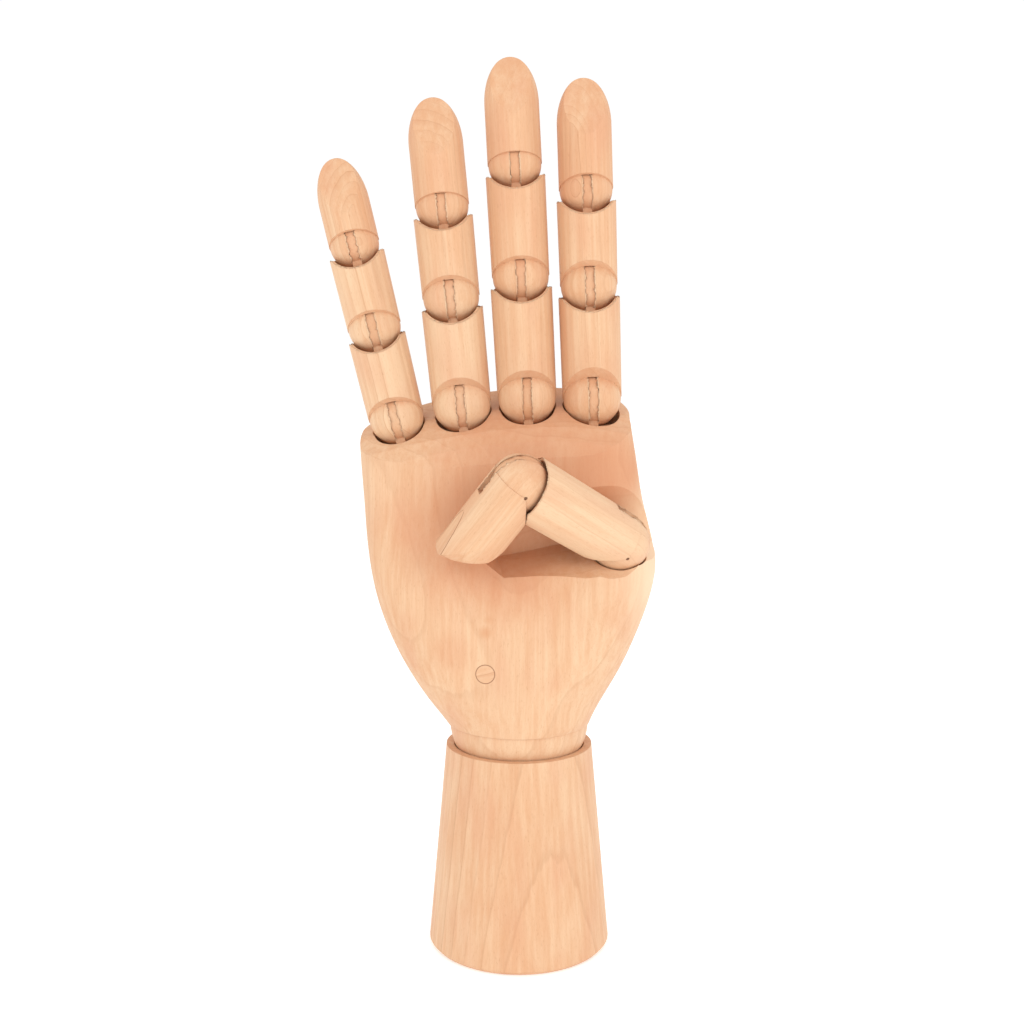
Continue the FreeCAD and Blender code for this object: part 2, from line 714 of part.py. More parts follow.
for cup_name, place, key in cups:
    bowl = doc.addObject("Part::Sphere", f"{cup_name}_bowl")
    bowl.setExpression(
        "Radius", f"{ref(key + '_ball')} + {ref('cup_gap')} + {ref('palm_cup_play')}"
    )
    bowl.Placement = place
    tools.append(bowl)
    if key != "thumb_root":
        mouth = doc.addObject("Part::Cylinder", f"{cup_name}_mouth")
        mouth.setExpression("Radius", f"{ref('mouth_ratio')} * {ref(key + '_ball')}")
        mouth.setExpression("Height", f"2 * {ref(key + '_ball')}")
        mouth.Placement = along(place, -MOUTH_DEPTH * of(f"{key}_ball"))
        tools.append(mouth)
    mortise = doc.addObject("Part::Box", f"{cup_name}_mortise")
    depth = of(f"{key}_ball") + of("cup_gap") + of("tongue_stem_grip")
    mortise.setExpression("Length", ref("tongue_thickness"))
    mortise.setExpression("Width", f"2 * {ref('tongue_stem_half_width')}")
    mortise.setExpression(
        "Height", f"{ref(key + '_ball')} + {ref('cup_gap')} + {ref('tongue_stem_grip')}"
    )
    mortise.Placement = place.multiply(FreeCAD.Placement(
        V(-of("tongue_thickness") / 2, -of("tongue_stem_half_width"), -depth),
        FreeCAD.Rotation(),
    ))
    tools.append(mortise)

PLUG_X = -9.4
PLUG_HEIGHT = 84.1
PLUG_FRONT = -22.0
plug_rod = doc.addObject("Part::Cylinder", "plug_rod")
plug_rod.setExpression("Radius", ref("plug_radius"))
plug_rod.setExpression("Height", f"{ref('plug_depth')} + {OUTSIDE / 2}")
plug_rod.Placement = FreeCAD.Placement(
    V(PLUG_X, PLUG_FRONT + of("plug_depth"), PLUG_HEIGHT), FreeCAD.Rotation(V(1, 0, 0), 90)
)
palm_plug = doc.addObject("Part::MultiCommon", "palm_plug")
palm_plug.Shapes = [plug_rod, blank]
palm_plug.Label = "palm_plug"
nodes["palm_plug"] = palm_plug
tools.append(plug_rod)

tool_set = doc.addObject("Part::Compound", "palm_tools")
tool_set.Links = tools
palm = doc.addObject("Part::Cut", "palm")
palm.Base = palm_solid
palm.Tool = tool_set
palm.Label = "palm"
nodes["palm"] = palm

doc.recompute()

# ---------------------------------------------------------------- output
for thing in doc.Objects:
    for state in thing.State:
        if state in ("Invalid", "Error"):
            raise RuntimeError(f"{thing.Name} is {state}")
for name, thing in nodes.items():
    shape = thing.Shape
    if shape.isNull() or not shape.isValid() or len(shape.Solids) != 1:
        raise RuntimeError(f"{name}: bad shape, {len(shape.Solids)} solids")
    shape.exportStep(f"parts/{name}.step")
    box = shape.BoundBox
    print(f"{name:28s} {shape.Volume:10.1f} "
          f"{box.XMin:7.1f} {box.XMax:7.1f} {box.YMin:7.1f} {box.YMax:7.1f} "
          f"{box.ZMin:7.1f} {box.ZMax:7.1f}")
print(len(nodes), "nodes")
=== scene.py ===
"""Jointed wooden artist's hand: materials, worn edges, torn fibres, light and camera."""
import json
import math
import random

import bmesh
import bpy
from mathutils import Matrix, Vector


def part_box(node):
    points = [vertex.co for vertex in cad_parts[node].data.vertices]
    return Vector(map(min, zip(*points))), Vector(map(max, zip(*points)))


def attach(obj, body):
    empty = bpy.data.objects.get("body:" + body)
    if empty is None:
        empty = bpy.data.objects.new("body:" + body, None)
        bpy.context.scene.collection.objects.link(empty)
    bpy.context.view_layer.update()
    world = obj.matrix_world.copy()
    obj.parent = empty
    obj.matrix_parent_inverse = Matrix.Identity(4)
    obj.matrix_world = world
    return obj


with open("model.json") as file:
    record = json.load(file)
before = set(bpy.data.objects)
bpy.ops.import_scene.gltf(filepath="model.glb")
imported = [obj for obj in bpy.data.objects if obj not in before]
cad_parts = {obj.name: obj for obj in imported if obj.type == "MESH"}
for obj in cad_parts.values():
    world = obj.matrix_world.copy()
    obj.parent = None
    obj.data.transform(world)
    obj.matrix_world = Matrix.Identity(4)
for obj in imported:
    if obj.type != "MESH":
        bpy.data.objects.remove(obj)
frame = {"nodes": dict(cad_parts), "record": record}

scene = bpy.context.scene
record = frame["record"]
nodes = frame["nodes"]
joints = {joint["name"]: joint for joint in record["behaviour"]["joints"]}
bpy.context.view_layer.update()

MM = 0.001
# bend of the thumb's two joints in the resting pose, degrees
THUMB_FOLD = 92.0
THUMB_REACH = 86.0
FINGERS = ("index", "middle", "ring", "little")
SEGMENTS = ("proximal", "middle", "distal")


# ---------------------------------------------------------------- frames of the wooden pieces
def grain_frame(origin, along, across):
    """Frame with Z along the grain and X along the joint pin, as a matrix in the row frame."""
    z_axis = Vector(along).normalized()
    x_axis = Vector(across).normalized()
    y_axis = z_axis.cross(x_axis).normalized()
    x_axis = y_axis.cross(z_axis)
    matrix = Matrix((x_axis, y_axis, z_axis)).transposed().to_4x4()
    matrix.translation = Vector(origin)
    return matrix


def joint_point(name):
    return Vector(joints[name]["pos_m"])


def joint_axis(name):
    return Vector(joints[name]["axis"])


def segment_frames():
    """Grain frame of every finger segment, read from the joints."""
    frames = {}
    for digit in FINGERS:
        names = (f"{digit}_knuckle", f"{digit}_middle_joint", f"{digit}_end_joint")
        points = [joint_point(name) for name in names]
        along = (points[-1] - points[0]).normalized()
        pin = joint_axis(names[1])
        for part, point in zip(SEGMENTS, points):
            frames[f"{digit}_{part}"] = grain_frame(point, along, pin)
    root = joint_point("thumb_root_joint")
    knuckle = joint_point("thumb_end_joint")
    pin = -joint_axis("thumb_root_joint")
    along = (knuckle - root).normalized()
    frames["thumb_proximal"] = grain_frame(root, along, pin)
    folded = Matrix.Rotation(math.radians(THUMB_FOLD), 3, pin) @ along
    frames["thumb_distal"] = grain_frame(knuckle, folded, pin)
    cup_axis = Matrix.Rotation(math.radians(-THUMB_REACH), 3, pin) @ along
    frames["thumb_cup"] = grain_frame(root, cup_axis, pin)
    return frames


SEGMENT_FRAMES = segment_frames()


# ---------------------------------------------------------------- material nodes
class Web:
    """Small helper that adds nodes to a tree and links them."""

    def __init__(self, tree):
        self.tree = tree

    def node(self, kind, inputs=None, **settings):
        made = self.tree.nodes.new(kind)
        for key, value in settings.items():
            setattr(made, key, value)
        for key, value in (inputs or {}).items():
            self.feed(made.inputs[key], value)
        return made

    def feed(self, socket, value):
        if isinstance(value, bpy.types.NodeSocket):
            self.tree.links.new(value, socket)
        else:
            socket.default_value = value

    def maths(self, operation, first, second=0.0, third=None, clamp=False):
        made = self.node("ShaderNodeMath", operation=operation, use_clamp=clamp)
        self.feed(made.inputs[0], first)
        self.feed(made.inputs[1], second)
        if third is not None:
            self.feed(made.inputs[2], third)
        return made.outputs[0]

    def vector(self, operation, first, second=None):
        made = self.node("ShaderNodeVectorMath", operation=operation)
        self.feed(made.inputs[0], first)
        if second is not None:
            self.feed(made.inputs[1], second)
        return made.outputs["Value"] if operation in ("DOT_PRODUCT", "LENGTH") else made.outputs[0]

    def noise(self, vector, scale=1.0, detail=2.0, roughness=0.5):
        made = self.node("ShaderNodeTexNoise", {
            "Vector": vector, "Scale": scale, "Detail": detail, "Roughness": roughness,
        })
        return made.outputs["Fac"]

    def stretch(self, vector, factors):
        return self.vector("MULTIPLY", vector, factors)

    def ramp(self, value, low, high, start=0.0, end=1.0):
        made = self.node("ShaderNodeMapRange", {
            "Value": value, "From Min": low, "From Max": high, "To Min": start, "To Max": end,
        }, interpolation_type="SMOOTHSTEP")
        return made.outputs[0]

    def mix(self, factor, first, second, blend="MIX"):
        made = self.node("ShaderNodeMix", data_type="RGBA", blend_type=blend)
        self.feed(made.inputs[0], factor)
        self.feed(made.inputs[6], first)
        self.feed(made.inputs[7], second)
        return made.outputs[2]


def srgb(red, green, blue):
    """Linear colour from an 8-bit display colour."""
    def linear(channel):
        value = channel / 255.0
        return value / 12.92 if value <= 0.04045 else ((value + 0.055) / 1.055) ** 2.4
    return (linear(red), linear(green), linear(blue), 1.0)


def wood_group():
    """Shared solid texture of bare, sanded pale wood. Position comes in millimetres, Z along the grain."""
    tree = bpy.data.node_groups.new("bare_wood", "ShaderNodeTree")
    face = tree.interface
    face.new_socket("Position", in_out="INPUT", socket_type="NodeSocketVector")
    for name, default in (
        ("Pith X", 20.0), ("Pith Y", 30.0), ("Ring Spacing", 2.4), ("Ring Strength", 0.5),
        ("Warp", 5.0), ("Seed", 0.0), ("Pinkness", 0.0), ("Shade", 0.0),
        ("End Tone", 0.38),
    ):
        socket = face.new_socket(name, in_out="INPUT", socket_type="NodeSocketFloat")
        socket.default_value = default
    face.new_socket("Grain Axis", in_out="INPUT", socket_type="NodeSocketVector")
    face.new_socket("Color", in_out="OUTPUT", socket_type="NodeSocketColor")
    face.new_socket("Roughness", in_out="OUTPUT", socket_type="NodeSocketFloat")
    face.new_socket("Height", in_out="OUTPUT", socket_type="NodeSocketFloat")
    web = Web(tree)
    given = web.node("NodeGroupInput").outputs
    shift = web.node("ShaderNodeCombineXYZ", {0: given["Seed"], 1: given["Seed"], 2: given["Seed"]})
    place = web.vector("ADD", given["Position"], shift.outputs[0])

    # growth rings round a pith outside the piece, wavering along the grain
    waver = web.noise(web.stretch(place, (0.035, 0.035, 0.011)), detail=1.5)
    waver = web.maths("MULTIPLY", web.maths("SUBTRACT", waver, 0.5), given["Warp"])
    ripple = web.noise(web.stretch(place, (0.30, 0.30, 0.035)), detail=2.0)
    ripple = web.maths("MULTIPLY", web.maths("SUBTRACT", ripple, 0.5), 0.9)
    split = web.node("ShaderNodeSeparateXYZ", {0: given["Position"]}).outputs
    off_x = web.maths("SUBTRACT", split[0], given["Pith X"])
    off_y = web.maths("SUBTRACT", split[1], given["Pith Y"])
    reach = web.maths("SQRT", web.maths(
        "ADD", web.maths("MULTIPLY", off_x, off_x), web.maths("MULTIPLY", off_y, off_y)
    ))
    reach = web.maths("ADD", web.maths("ADD", reach, waver), ripple)
    count = web.maths("DIVIDE", reach, given["Ring Spacing"])
    phase = web.maths("FRACT", count)
    broad = web.maths("MULTIPLY", web.ramp(phase, 0.10, 0.95), web.ramp(phase, 0.96, 1.0, 1.0, 0.0))
    line = web.maths("MULTIPLY", web.ramp(phase, 0.86, 0.95), web.ramp(phase, 0.96, 1.0, 1.0, 0.0))
    year = web.noise(web.node("ShaderNodeCombineXYZ", {0: web.maths("FLOOR", count)}).outputs[0], 3.7)
    year = web.ramp(year, 0.35, 0.68, 0.12, 1.0)
    ring = web.maths("ADD", web.maths("MULTIPLY", broad, 0.30), web.maths("MULTIPLY", line, 0.55))
    ring = web.maths("MULTIPLY", web.maths("MULTIPLY", ring, year), given["Ring Strength"])

    # soft stripes, long fibres, short pores and slow patches of tint
    stripe = web.noise(web.stretch(place, (0.55, 0.55, 0.012)), detail=3.0, roughness=0.6)
    fibre = web.noise(web.stretch(place, (2.4, 2.4, 0.11)), detail=3.0, roughness=0.6)
    fine = web.noise(web.stretch(place, (6.5, 6.5, 0.55)), detail=2.0, roughness=0.6)
    pores = web.ramp(web.noise(web.stretch(place, (3.6, 3.6, 0.8)), detail=1.0), 0.64, 0.76)
    patch = web.noise(web.stretch(place, (0.06, 0.06, 0.03)), detail=2.0)
    blush = web.noise(web.stretch(place, (0.11, 0.11, 0.05)), detail=1.0)

    pale = srgb(227, 192, 156)
    warm = srgb(215, 165, 125)
    dark = srgb(176, 118, 78)
    pink = srgb(211, 151, 117)
    tone = web.maths("ADD", web.maths("MULTIPLY", stripe, 0.78), web.maths("MULTIPLY", patch, 0.46))
    tone = web.maths("ADD", tone, web.maths("MULTIPLY", fibre, 0.28))
    tone = web.maths("ADD", tone, given["Shade"])
    color = web.mix(web.ramp(tone, 0.45, 1.05), pale, warm)
    color = web.mix(ring, color, dark)
    tint = web.maths("ADD", web.ramp(blush, 0.42, 0.78, 0.0, 0.35), given["Pinkness"], clamp=True)
    color = web.mix(tint, color, pink)
    color = web.mix(web.ramp(fine, 0.48, 0.80, 0.0, 0.20), color, dark)
    color = web.mix(web.maths("MULTIPLY", pores, 0.24), color, dark)

    # end grain drinks in more light and looks deeper and pinker
    normal = web.node("ShaderNodeTexCoord").outputs["Normal"]
    facing = web.maths("ABSOLUTE", web.vector("DOT_PRODUCT", normal, given["Grain Axis"]))
    end = web.maths("MULTIPLY", web.ramp(facing, 0.30, 1.0), given["End Tone"])
    color = web.mix(end, color, srgb(208, 150, 113))
    roughness = web.maths("ADD", 0.50, web.maths("MULTIPLY", fibre, 0.14))
    roughness = web.maths("ADD", roughness, web.maths("MULTIPLY", end, 0.2))
    height = web.maths("ADD", web.maths("MULTIPLY", fibre, 0.6), web.maths("MULTIPLY", fine, 0.4))
    height = web.maths("SUBTRACT", height, web.maths("MULTIPLY", pores, 0.5))
    web.node("NodeGroupOutput", {"Color": color, "Roughness": roughness, "Height": height})
    return tree


WOOD = wood_group()
# worn radius of the edges and height of the surface relief, in metres
EDGE_ROUNDING = 0.22 * MM
GRAIN_RELIEF = 0.05 * MM
SCRATCH_RELIEF = 0.02 * MM
# colours of the soft patches: the dark pink one is painted shade of the palm's hollows, the pale one a
# painted light on its right side, and the brown one real stains
STAIN_AND_PAINTED_LIGHT_COLORS = {
    # painted shade
    "hollow": srgb(203, 136, 98),
    "spot": srgb(196, 120, 66),
    # painted light
    "pale": srgb(240, 208, 174),
}
# thin dark line of a seam: half-widths in millimetres and strength; the same line draws the painted shade
# along the thumb nail's edge
SEAM_CORE = 0.05
SEAM_EDGE = 0.20
SEAM_DARK = 0.75
SEAM_COLOR = srgb(138, 84, 52)


def wood(name, matrix, seed, pith=(18.0, 34.0), spacing=2.4, rings=0.5, warp=5.0,
         pinkness=0.0, shade=0.0, end_tone=0.38, stains_and_painted_light=(), seam=None, nail=None):
    """Bare wood whose grain runs along the given frame's Z axis.

    Soft patches are real stains, painted shade and painted light; a seam is the dark outline
    of a plug; a nail is the scribed line round the flat nail of a fingertip, drawn as a thin dark line of
    painted shade.
    """
    material = bpy.data.materials.new(name)
    material.use_nodes = True
    tree = material.node_tree
    tree.nodes.clear()
    web = Web(tree)
    inverse = matrix.inverted()
    mapping = web.node("ShaderNodeMapping", {
        "Vector": web.node("ShaderNodeTexCoord").outputs["Object"],
        "Location": inverse.translation / MM,
        "Rotation": inverse.to_euler(),
        "Scale": (1 / MM, 1 / MM, 1 / MM),
    })
    body = web.node("ShaderNodeGroup", node_tree=WOOD)
    for key, value in (
        ("Position", mapping.outputs[0]), ("Pith X", pith[0]), ("Pith Y", pith[1]),
        ("Ring Spacing", spacing), ("Ring Strength", rings), ("Warp", warp), ("Seed", seed),
        ("Pinkness", pinkness), ("Shade", shade), ("End Tone", end_tone),
        ("Grain Axis", matrix.col[2].to_3d()),
    ):
        web.feed(body.inputs[key], value)
    color = body.outputs["Color"]
    # each soft patch blends in its colour: the small spots are real stains, the dark pink patches painted
    # shade, the pale patch a painted light
    for centre, radius, amount, kind in stains_and_painted_light:
        gap = web.vector("SUBTRACT", web.node("ShaderNodeTexCoord").outputs["Object"], centre)
        near = web.ramp(web.vector("LENGTH", gap), 0.25 * radius, radius, amount, 0.0)
        color = web.mix(near, color, STAIN_AND_PAINTED_LIGHT_COLORS[kind])
    if seam:
        centre, radius = seam
        gap = web.vector("SUBTRACT", web.node("ShaderNodeTexCoord").outputs["Object"], centre)
        flat = web.vector("LENGTH", web.stretch(gap, (1 / MM, 0, 1 / MM)))
        away = web.maths("ABSOLUTE", web.maths("SUBTRACT", flat, radius))
        color = web.mix(web.ramp(away, SEAM_CORE, SEAM_EDGE, SEAM_DARK, 0.0), color, SEAM_COLOR)
    # painted shade: a thin dark line along the edge of the flat nail, standing in for the shade of its
    # scribed edge
    if nail:
        radius, start, slope = nail
        at = web.node("ShaderNodeSeparateXYZ", {0: mapping.outputs[0]}).outputs
        run = web.maths("SUBTRACT", at[2], start)
        depth = web.maths("MAXIMUM", web.maths("MULTIPLY", run, slope), 0.0)
        spread = web.maths("SQRT", web.maths(
            "MULTIPLY", depth, web.maths("SUBTRACT", 2 * radius, depth)
        ))
        away = web.maths("ABSOLUTE", web.maths("SUBTRACT", web.maths("ABSOLUTE", at[0]), spread))
        line = web.maths("MULTIPLY", web.ramp(away, SEAM_CORE, SEAM_EDGE, SEAM_DARK, 0.0),
                         web.ramp(at[1], 0.3 * radius, 0.45 * radius))
        line = web.maths("MULTIPLY", line, web.ramp(depth, 0.0, 0.02))
        color = web.mix(line, color, SEAM_COLOR)
    rounded = web.node("ShaderNodeBevel", {"Radius": EDGE_ROUNDING}, samples=6)
    bump = web.node("ShaderNodeBump", {
        "Height": body.outputs["Height"], "Strength": 0.55, "Distance": GRAIN_RELIEF,
        "Normal": rounded.outputs[0],
    })
    shader = web.node("ShaderNodeBsdfPrincipled", {
        "Base Color": color, "Roughness": body.outputs["Roughness"],
        "Normal": bump.outputs[0], "Specular IOR Level": 0.32,
    })
    web.node("ShaderNodeOutputMaterial", {"Surface": shader.outputs[0]})
    return material


def steel(name):
    """Drawn steel with fine lengthwise scratches."""
    material = bpy.data.materials.new(name)
    material.use_nodes = True
    tree = material.node_tree
    tree.nodes.clear()
    web = Web(tree)
    place = web.vector("SCALE", web.node("ShaderNodeTexCoord").outputs["Object"])
    place.node.inputs["Scale"].default_value = 1 / MM
    scratch = web.noise(web.stretch(place, (9.0, 9.0, 0.8)), detail=3.0)
    grime = web.noise(place, scale=0.25, detail=3.0)
    color = web.mix(web.ramp(grime, 0.35, 0.75), srgb(196, 196, 199), srgb(150, 146, 140))
    roughness = web.maths("ADD", 0.24, web.maths("MULTIPLY", scratch, 0.22))
    bump = web.node("ShaderNodeBump", {"Height": scratch, "Strength": 0.3, "Distance": SCRATCH_RELIEF})
    shader = web.node("ShaderNodeBsdfPrincipled", {
        "Base Color": color, "Metallic": 1.0, "Roughness": roughness, "Normal": bump.outputs[0],
    })
    web.node("ShaderNodeOutputMaterial", {"Surface": shader.outputs[0]})
    return material


def pin_metal(name):
    """Browned wire of the small cross pins."""
    material = bpy.data.materials.new(name)
    material.use_nodes = True
    tree = material.node_tree
    tree.nodes.clear()
    web = Web(tree)
    place = web.stretch(web.node("ShaderNodeTexCoord").outputs["Object"], (1 / MM, 1 / MM, 1 / MM))
    stain = web.noise(place, scale=1.3, detail=3.0)
    color = web.mix(web.ramp(stain, 0.35, 0.7), srgb(134, 96, 70), srgb(104, 72, 52))
    roughness = web.maths("ADD", 0.45, web.maths("MULTIPLY", stain, 0.2))
    bump = web.node("ShaderNodeBump", {"Height": stain, "Strength": 0.3, "Distance": SCRATCH_RELIEF})
    shader = web.node("ShaderNodeBsdfPrincipled", {
        "Base Color": color, "Metallic": 0.3, "Roughness": roughness, "Normal": bump.outputs[0],
    })
    web.node("ShaderNodeOutputMaterial", {"Surface": shader.outputs[0]})
    return material


def dress(piece, material):
    piece.data.materials.clear()
    piece.data.materials.append(material)


# ---------------------------------------------------------------- finish of every CAD piece
WOOD_SEED = 11
random.seed(WOOD_SEED)
STEEL = steel("steel")
PIN_METAL = pin_metal("pin_metal")
UPRIGHT = Matrix.Identity(4)

# pieces whose pads show the growth rings: pith, ring spacing and strength
END_GRAIN = {
    "index_distal": ((-6.0, -12.0), 1.1, 0.62),
    "little_distal": ((3.0, -10.0), 1.3, 0.5),
    "ring_distal": ((-4.0, -26.0), 1.4, 0.45),
}
# flat nail of the thumb: the tip's radius, how far along it starts (both in millimetres),
# and how fast it deepens
# the dark line round this nail is painted shade of its scribed edge
THUMB_NAIL = (8.0, 14.2, 0.0634)

# shade (negative is paler) and pinkness of each turned piece
PIECE_TONES = {
    "index_proximal": (0.02, 0.02), "index_middle": (0.04, 0.04), "index_distal": (0.10, 0.16),
    "middle_proximal": (0.02, 0.02), "middle_middle": (0.08, 0.10), "middle_distal": (0.10, 0.12),
    "ring_proximal": (-0.18, 0.0), "ring_middle": (-0.06, 0.02), "ring_distal": (0.06, 0.12),
    "little_proximal": (-0.10, 0.0), "little_middle": (-0.13, 0.0), "little_distal": (0.02, 0.06),
    "thumb_proximal": (-0.24, 0.0), "thumb_distal": (-0.02, 0.02),
}

# a tongue is darker and pinker than its segment, and torn fibres are paler
TONGUE_DEEPER = 0.12
FIBRE_PALER = 0.22

plug_low, plug_high = (Vector(corner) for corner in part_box("palm_plug"))
PLUG_CENTRE = (plug_low + plug_high) / 2
PLUG_RADIUS = (plug_high.x - plug_low.x) / 2 / MM
# each patch: centre and radius in metres, strength and kind; the dark pink patches are painted shade of
# the palm's hollow and round the thumb, the pale patch is a painted light on the palm's right side, and
# the small dark spots are real stains
palm_wood = wood("palm_wood", UPRIGHT, 4.0, pith=(14.0, 60.0), spacing=4.2, rings=0.36,
                 warp=8.0, pinkness=0.06, shade=-0.06, end_tone=0.06, stains_and_painted_light=(
                     ((0.004, -0.014, 0.140), 0.042, 0.55, "hollow"),
                     ((-0.020, -0.016, 0.121), 0.021, 0.46, "hollow"),
                     ((-0.004, -0.019, 0.111), 0.017, 0.45, "hollow"),
                     ((0.026, -0.014, 0.138), 0.018, 0.50, "hollow"),
                     ((-0.018, -0.018, 0.090), 0.008, 0.30, "hollow"),
                     # painted light on the right side of the palm
                     ((0.040, -0.008, 0.114), 0.026, 0.85, "pale"),
                     ((-0.0093, -0.0195, 0.0955), 0.0030, 0.50, "spot"),
                     ((-0.0083, -0.0195, 0.0990), 0.0022, 0.30, "spot"),
                 ), seam=(PLUG_CENTRE, PLUG_RADIUS))
base_wood = wood("base_wood", UPRIGHT, 61.0, pith=(-21.0, 43.9), spacing=3.6, rings=0.48,
                 warp=3.0, pinkness=0.06, shade=0.0, end_tone=0.15)
plug_frame = grain_frame((0, 0, 0), (1, 0, 0.35), (0, 1, 0))
plug_wood = wood("plug_wood", plug_frame, 9.0, pinkness=0.1, shade=0.02,
                 seam=(PLUG_CENTRE, PLUG_RADIUS))

for name, piece in nodes.items():
    if name == "palm":
        dress(piece, palm_wood)
    elif name == "forearm_base":
        dress(piece, base_wood)
    elif name == "palm_plug":
        dress(piece, plug_wood)
    elif name in PIECE_TONES or name.endswith("_tongue"):
        key = name.replace("_tongue", "")
        shade, pinkness = PIECE_TONES[key]
        if name.endswith("_tongue"):
            shade, pinkness = shade + TONGUE_DEEPER, pinkness + TONGUE_DEEPER
        pith = (random.uniform(-30, 30), random.uniform(14, 45))
        seed = random.uniform(0, 900)
        spacing, rings = random.uniform(1.8, 3.2), random.uniform(0.25, 0.5)
        if name in END_GRAIN:
            pith, spacing, rings = END_GRAIN[name]
        dress(piece, wood(
            f"{name}_wood", SEGMENT_FRAMES[key], seed, pith=pith, spacing=spacing, rings=rings,
            pinkness=pinkness, shade=shade, nail=THUMB_NAIL if name == "thumb_distal" else None,
        ))
    elif name.endswith("_pin") and name != "wrist_pin":
        dress(piece, PIN_METAL)
    else:
        dress(piece, STEEL)


# ---------------------------------------------------------------- torn fibres along the sawn edges
# an edge is sharp above this angle in radians; corners closer than WELD metres are one
SHARP_ANGLE = 0.6
WELD = 0.002 * MM
# millimetres: depth of a fibre's base in the wood, step along an edge, half-widths of the
# slot and the tongue, and how far from them an edge may lie
SUNK = 0.06
FIBRE_STEP = 0.14
SLOT_HALF = 1.5
TONGUE_HALF = 1.3
BESIDE = 0.12
# an edge with fewer samples than this carries no fibres
FEWEST_SAMPLES = 12
# where fibres grow, as multiples of the piece's half-width: distance from the pin for a
# slot and for a tongue, lowest height, distance from a cup's axis, and a rim's height span
SLOT_NEAR = 0.86
SLOT_FAR = 1.3
TONGUE_NEAR = 0.6
LOWEST = -0.85
RIM_NEAR = 0.955
RIM_BELOW = 1.2
RIM_ABOVE = 0.2
# lean of a rim's fibres: share along the grain and share towards the cup's axis
RIM_UPWARD = 0.75
RIM_INWARD = 0.65
# samples on each side of a tuft's middle, fewest and most
TUFT_SPANS = (2, 7)
# least share of the lip's height and of a tuft's reach, and how steeply a tuft falls off
LIP_LEAST = 0.4
TUFT_LEAST = 0.35
TUFT_FALL = 0.7
# raggedness of a tuft: least share of its length and how much chance adds
RAGGED_LEAST = 0.75
RAGGED_MORE = 0.4
# shares of a fibre's length that it sways and curls outward, and of the thickness above it
SWAY = 0.5
CURL = 0.28
CREST = 0.35
# chance of a tuft at a sample, its longest reach, the low lip's height, and the thickness;
# lengths in millimetres
SLOT_TUFTS = (0.20, 0.70, 0.08, 0.10)
TONGUE_TUFTS = (0.07, 0.18, 0.03, 0.08)
RIM_TUFTS = (0.20, 0.62, 0.14, 0.07)
UP = Vector((0, 0, 1))


def sharp_edges(piece, matrix, keep):
    """Chains of sharp edge points in the piece's grain frame, in millimetres."""
    inverse = matrix.inverted()
    mesh = bmesh.new()
    mesh.from_mesh(piece.data)
    bmesh.ops.remove_doubles(mesh, verts=mesh.verts, dist=WELD)
    chosen = set()
    for edge in mesh.edges:
        if edge.calc_face_angle(0.0) < SHARP_ANGLE:
            continue
        middle = inverse @ ((edge.verts[0].co + edge.verts[1].co) / 2) / MM
        if keep(middle):
            chosen.add(edge)
    chains = []
    while chosen:
        first = min(chosen, key=lambda edge: edge.index)
        chosen.discard(first)
        chain = [first.verts[0], first.verts[1]]
        for forward in (True, False):
            while True:
                end = chain[-1] if forward else chain[0]
                onward = [edge for edge in end.link_edges if edge in chosen]
                if not onward:
                    break
                edge = min(onward, key=lambda candidate: candidate.index)
                chosen.discard(edge)
                other = edge.other_vert(end)
                chain.insert(len(chain) if forward else 0, other)
        chains.append([inverse @ vertex.co / MM for vertex in chain])
    mesh.free()
    return chains


def resampled(points, step):
    """Points at an even step along a polyline."""
    spaced = [points[0]]
    carry = 0.0
    for start, end in zip(points, points[1:]):
        span = (end - start).length
        if span < 1e-9:
            continue
        travel = step - carry
        while travel <= span:
            spaced.append(start.lerp(end, travel / span))
            travel += step
        carry = span - (travel - step)
    return spaced


def edge_samples(piece, matrix, keep):
    """Evenly spaced points along each sharp edge that is long enough to tear."""
    for chain in sharp_edges(piece, matrix, keep):
        points = resampled(chain, FIBRE_STEP)
        if len(points) >= FEWEST_SAMPLES:
            yield points


def tuft_profile(count, rng, chance, reach, base):
    """Length of torn fibre at each sample: a low ragged lip with a few longer tufts."""
    lengths = [base * (LIP_LEAST + rng.random()) for _ in range(count)]
    for start in range(count):
        if rng.random() < chance:
            span = rng.randint(*TUFT_SPANS)
            height = reach * (TUFT_LEAST + (1.0 - TUFT_LEAST) * rng.random())
            for offset in range(-span, span + 1):
                index = start + offset
                if 0 <= index < count:
                    lift = height * (1.0 - abs(offset) / (span + 1)) ** TUFT_FALL
                    ragged = RAGGED_LEAST + RAGGED_MORE * rng.random()
                    lengths[index] = max(lengths[index], lift * ragged)
    return lengths


def torn_lip(rows, chain, tufts, toward, outward, rng):
    """Adds one closed ragged sliver along a chain: base sunk in the wood, tip in the gap."""
    chance, reach, base, thick = tufts
    lengths = tuft_profile(len(chain), rng, chance, reach, base)
    verts, faces = rows
    first = len(verts)
    for point, length in zip(chain, lengths):
        side = toward(point)
        out = outward(point)
        sway = (rng.random() - 0.5) * SWAY * length
        verts.append(point - side * SUNK - out * (SUNK + thick))
        verts.append(point - side * SUNK + out * thick * CREST)
        verts.append(point + side * length + out * (sway + CURL * length))
    count = len(chain)
    for index in range(count - 1):
        here = first + 3 * index
        ahead = here + 3
        for corner in range(3):
            following = (corner + 1) % 3
            faces.append((here + corner, here + following, ahead + following, ahead + corner))
    faces.append((first + 2, first + 1, first))
    last = first + 3 * (count - 1)
    faces.append((last, last + 1, last + 2))


